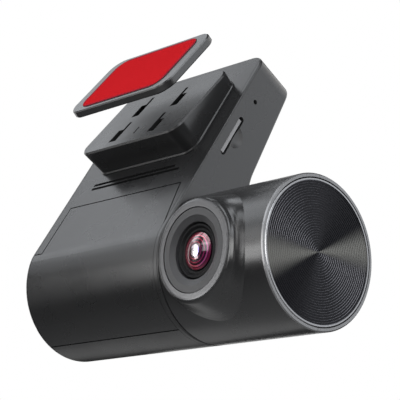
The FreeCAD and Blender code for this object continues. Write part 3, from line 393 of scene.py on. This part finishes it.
BLACK_PARTS = ["lens_tube", "lens_retainer", "lens_spacer", "lens_holder", "end_plate"]
STEEL_PARTS = [
    "retaining_ring",
    "friction_washer",
    "shield_can",
    "card_socket",
    "power_socket",
    "board_screws",
    "block_screws",
    "side_plate_screws",
    "hub_screws",
    "sensor_screws",
]
CHIPS = [
    "processor",
    "memory_chip",
    "power_chip",
    "inductor",
    "image_sensor",
    "power_contacts",
    "ribbon_connector",
    "reset_switch",
    "speaker",
    "microphone",
]
FINISHES = [
    (["main_housing", "left_cover", "side_plate"], plastic("satin_shell", SHELL, rough=0.28)),
    (["front_cover"], plastic("satin_cover", SHELL, rough=0.28)),
    (["barrel_front_shell", "barrel_rear_shell"], barrel_finish()),
    (["mount_block"], plastic("satin_block", SHELL, rough=0.28, specular=0.4)),
    (["mount_plate"], plastic("satin_plate", SHELL, rough=0.26, specular=0.7)),
    (
        ["adhesive_pad"],
        plastic("foam", (0.020, 0.020, 0.020), rough=0.8, grain=30 * UM, pitch=2500.0),
    ),
    (["release_liner"], liner_film()),
    (["end_disc"], spun_disc()),
    (["end_ring"], metal("bright_ring", (0.24, 0.24, 0.245), 0.28)),
    (["lens_bezel"], plastic("bezel_black", (0.028, 0.028, 0.030), rough=0.45)),
    (BLACK_PARTS, plastic("lens_black", (0.004, 0.004, 0.0045), rough=0.5, specular=0.12)),
    (["barrel_hub", "capacitor_cradle"], plastic("acetal", (0.08, 0.08, 0.085), rough=0.5)),
    (STEEL_PARTS, metal("plated_steel", (0.55, 0.55, 0.56), 0.32, (1.0, 8.0, 1.0))),
    (["main_board", "sensor_board"], plastic("solder_resist", (0.012, 0.10, 0.04), rough=0.35)),
    (CHIPS, plastic("moulded_epoxy", (0.03, 0.03, 0.032), rough=0.5)),
    (["heat_sink"], metal("aluminium", (0.75, 0.75, 0.76), 0.35, (8.0, 1.0, 1.0))),
    (["thermal_pad"], plastic("silicone_pad", (0.30, 0.40, 0.55), rough=0.7)),
    (
        ["capacitor_upper", "capacitor_lower"],
        plastic("shrink_sleeve", (0.04, 0.05, 0.14), rough=0.3),
    ),
    (
        ["ribbon_cable", "sensor_flex", "antenna"],
        plastic("polyimide", (0.42, 0.20, 0.045), rough=0.35),
    ),
    (["memory_card"], plastic("card_plastic", (0.20, 0.20, 0.205), rough=0.45)),
    (["reset_plunger"], plastic("button_plastic", (0.45, 0.45, 0.45), rough=0.5)),
    (["front_lens"], front_with_painted_rings()),
    (["middle_lens", "rear_lens"], glass("coated_glass", (0.9, 0.75, 0.8))),
    (["ir_filter"], glass("filter_glass", (0.6, 0.9, 0.95))),
]
for names, graph in FINISHES:
    for name in names:
        slots = nodes[name].data.materials
        slots.clear()
        slots.append(graph.material)


# ---------------------------------------------------------------- stage

def floor(level, half):
    """A square of pale paper, centred under the object."""
    camera_glow = 1.5
    mesh = bpy.data.meshes.new("floor")
    corners = [
        (-half, -half, level),
        (half, -half, level),
        (half, half, level),
        (-half, half, level),
    ]
    mesh.from_pydata(corners, [], [(0, 1, 2, 3)])
    thing = bpy.data.objects.new("floor", mesh)
    bpy.context.scene.collection.objects.link(thing)
    g = Graph("floor_paper")
    paper = g.mix(g.noise(2.0, detail=3.0), (0.48, 0.48, 0.48), (0.51, 0.51, 0.51))
    # to the camera the paper glows a little, so that it looks pale without lighting the object
    rays = g.add("ShaderNodeLightPath")
    g.set(
        Base_Color=paper,
        Roughness=0.7,
        Emission_Color=paper,
        Emission_Strength=g.calc("MULTIPLY", rays.outputs["Is Camera Ray"], camera_glow),
    )
    mesh.materials.append(g.material)


def studio_air(fill):
    """An even white studio: pure white behind the object, and a soft fill on it."""
    world = bpy.data.worlds.new("studio")
    bpy.context.scene.world = world
    world.use_nodes = True
    tree = world.node_tree
    tree.nodes.clear()
    rays = tree.nodes.new("ShaderNodeLightPath")
    both = tree.nodes.new("ShaderNodeMixShader")
    out = tree.nodes.new("ShaderNodeOutputWorld")
    tree.links.new(rays.outputs["Is Camera Ray"], both.inputs["Fac"])
    # the mix shader's second input is the fill, and its third is what the camera sees
    for place, strength in ((1, fill), (2, 1.0)):
        air = tree.nodes.new("ShaderNodeBackground")
        air.inputs["Color"].default_value = (1, 1, 1, 1)
        air.inputs["Strength"].default_value = strength
        tree.links.new(air.outputs[0], both.inputs[place])
    tree.links.new(both.outputs[0], out.inputs["Surface"])


floor(-0.50, 8.0)
studio_air(0.02)


# ---------------------------------------------------------------- lights

MIDDLE = Vector((0.0, 0.0, -0.03))
FAR = 0.6
COOL = (0.93, 0.96, 1.0)
PLAIN = (1.0, 1.0, 1.0)

# The arch of lamps on the left: their share of the way to the left and out from the x axis, their
# width, and then each lamp's angle round the x axis (0 behind the object, 90 above it, 180 in
# front of it, 270 below it), power in watts and colour.
ARCH_LEFT = -0.72
ARCH_OUT = 0.694
ARCH_WIDTH = 0.26
ARCH = [
    (72, 0.23, COOL),
    (94, 0.12, COOL),
    (116, 0.38, COOL),
    (138, 0.18, COOL),
    (185, 0.05, PLAIN),
    (308, 0.07, PLAIN),
]

# The single lamps: name, direction from the object's middle, distance, width and height in
# metres, power in watts and colour. The last three light the sides that the photo doesn't show.
LAMPS = [
    ("spark", (-0.585, -0.778, 0.234), FAR, 0.24, 0.24, 0.40, PLAIN),
    ("glint", (-0.505, -0.853, -0.131), 0.2, 0.06, 0.06, 0.07, PLAIN),
    ("front", (-0.02, -0.95, 0.28), FAR, 0.22, 0.26, 0.32, PLAIN),
    ("flank", (0.70, -0.70, 0.02), FAR, 0.34, 0.34, 2.2, PLAIN),
    ("flank_top", (0.62, -0.50, 0.60), FAR, 0.28, 0.28, 1.1, COOL),
    ("front_top", (0.24, -0.22, 0.94), FAR, 0.30, 0.30, 1.0, COOL),
    ("top_left", (-0.28, -0.55, 0.79), FAR, 0.20, 0.20, 0.35, COOL),
    ("upper", (-0.38, 0.22, 0.90), FAR, 0.18, 0.18, 0.24, COOL),
    ("right", (1.0, 0.1, 0.3), FAR, 0.4, 0.4, 0.80, PLAIN),
    ("side_right", (0.72, 0.654, 0.234), FAR, 0.4, 0.4, 0.75, COOL),
    ("back_right", (0.45, 0.88, 0.15), FAR, 0.3, 0.3, 0.15, COOL),
    ("top_right", (0.72, 0.35, 0.60), FAR, 0.25, 0.25, 0.25, COOL),
    ("front_high", (-0.10, -0.83, 0.54), FAR, 0.24, 0.24, 0.35, PLAIN),
    ("left", (-1.0, 0.05, 0.15), FAR, 0.4, 0.4, 0.6, PLAIN),
    ("back", (0.1, 1.0, 0.35), FAR, 0.5, 0.4, 1.0, PLAIN),
    ("back_left", (-0.6, 0.75, 0.15), FAR, 0.2, 0.4, 0.25, PLAIN),
]


def softbox(name, way, distance, width, height, power, colour):
    """A soft rectangular lamp that faces the object's middle from the direction way."""
    lamp = bpy.data.lights.new(name, "AREA")
    lamp.shape = "RECTANGLE"
    lamp.size = width
    lamp.size_y = height
    lamp.energy = power
    lamp.color = colour
    thing = bpy.data.objects.new(name, lamp)
    bpy.context.scene.collection.objects.link(thing)
    thing.location = MIDDLE + Vector(way).normalized() * distance
    thing.rotation_mode = "QUATERNION"
    thing.rotation_quaternion = Vector(way).to_track_quat("Z", "Y")


for degrees, power, colour in ARCH:
    around = math.radians(degrees)
    way = (ARCH_LEFT, ARCH_OUT * math.cos(around), ARCH_OUT * math.sin(around))
    softbox("arch_%d" % degrees, way, FAR, ARCH_WIDTH, ARCH_WIDTH, power, colour)
for lamp_row in LAMPS:
    softbox(*lamp_row)

bpy.context.scene.view_settings.view_transform = "Standard"


# ---------------------------------------------------------------- camera

# The place and the directions of the pinhole camera that was fitted to the object's outlines.
EYE = Vector((0.290403, -0.241169, -0.123659))
LOOK = Vector((-0.71982, 0.65362, 0.23377))
UP = Vector((0.15164, -0.18058, 0.97180))
camera_data = bpy.data.cameras.new("camera")
camera_data.sensor_width = 36.0
camera_data.lens = 139.32
camera_data.clip_start = 0.01
camera_data.clip_end = 20.0
camera = bpy.data.objects.new("camera", camera_data)
bpy.context.scene.collection.objects.link(camera)
right = LOOK.cross(UP).normalized()
upward = right.cross(LOOK).normalized()
facing = Matrix((right, upward, -LOOK.normalized())).transposed()
camera.matrix_world = Matrix.Translation(EYE) @ facing.to_4x4()
bpy.context.scene.camera = camera
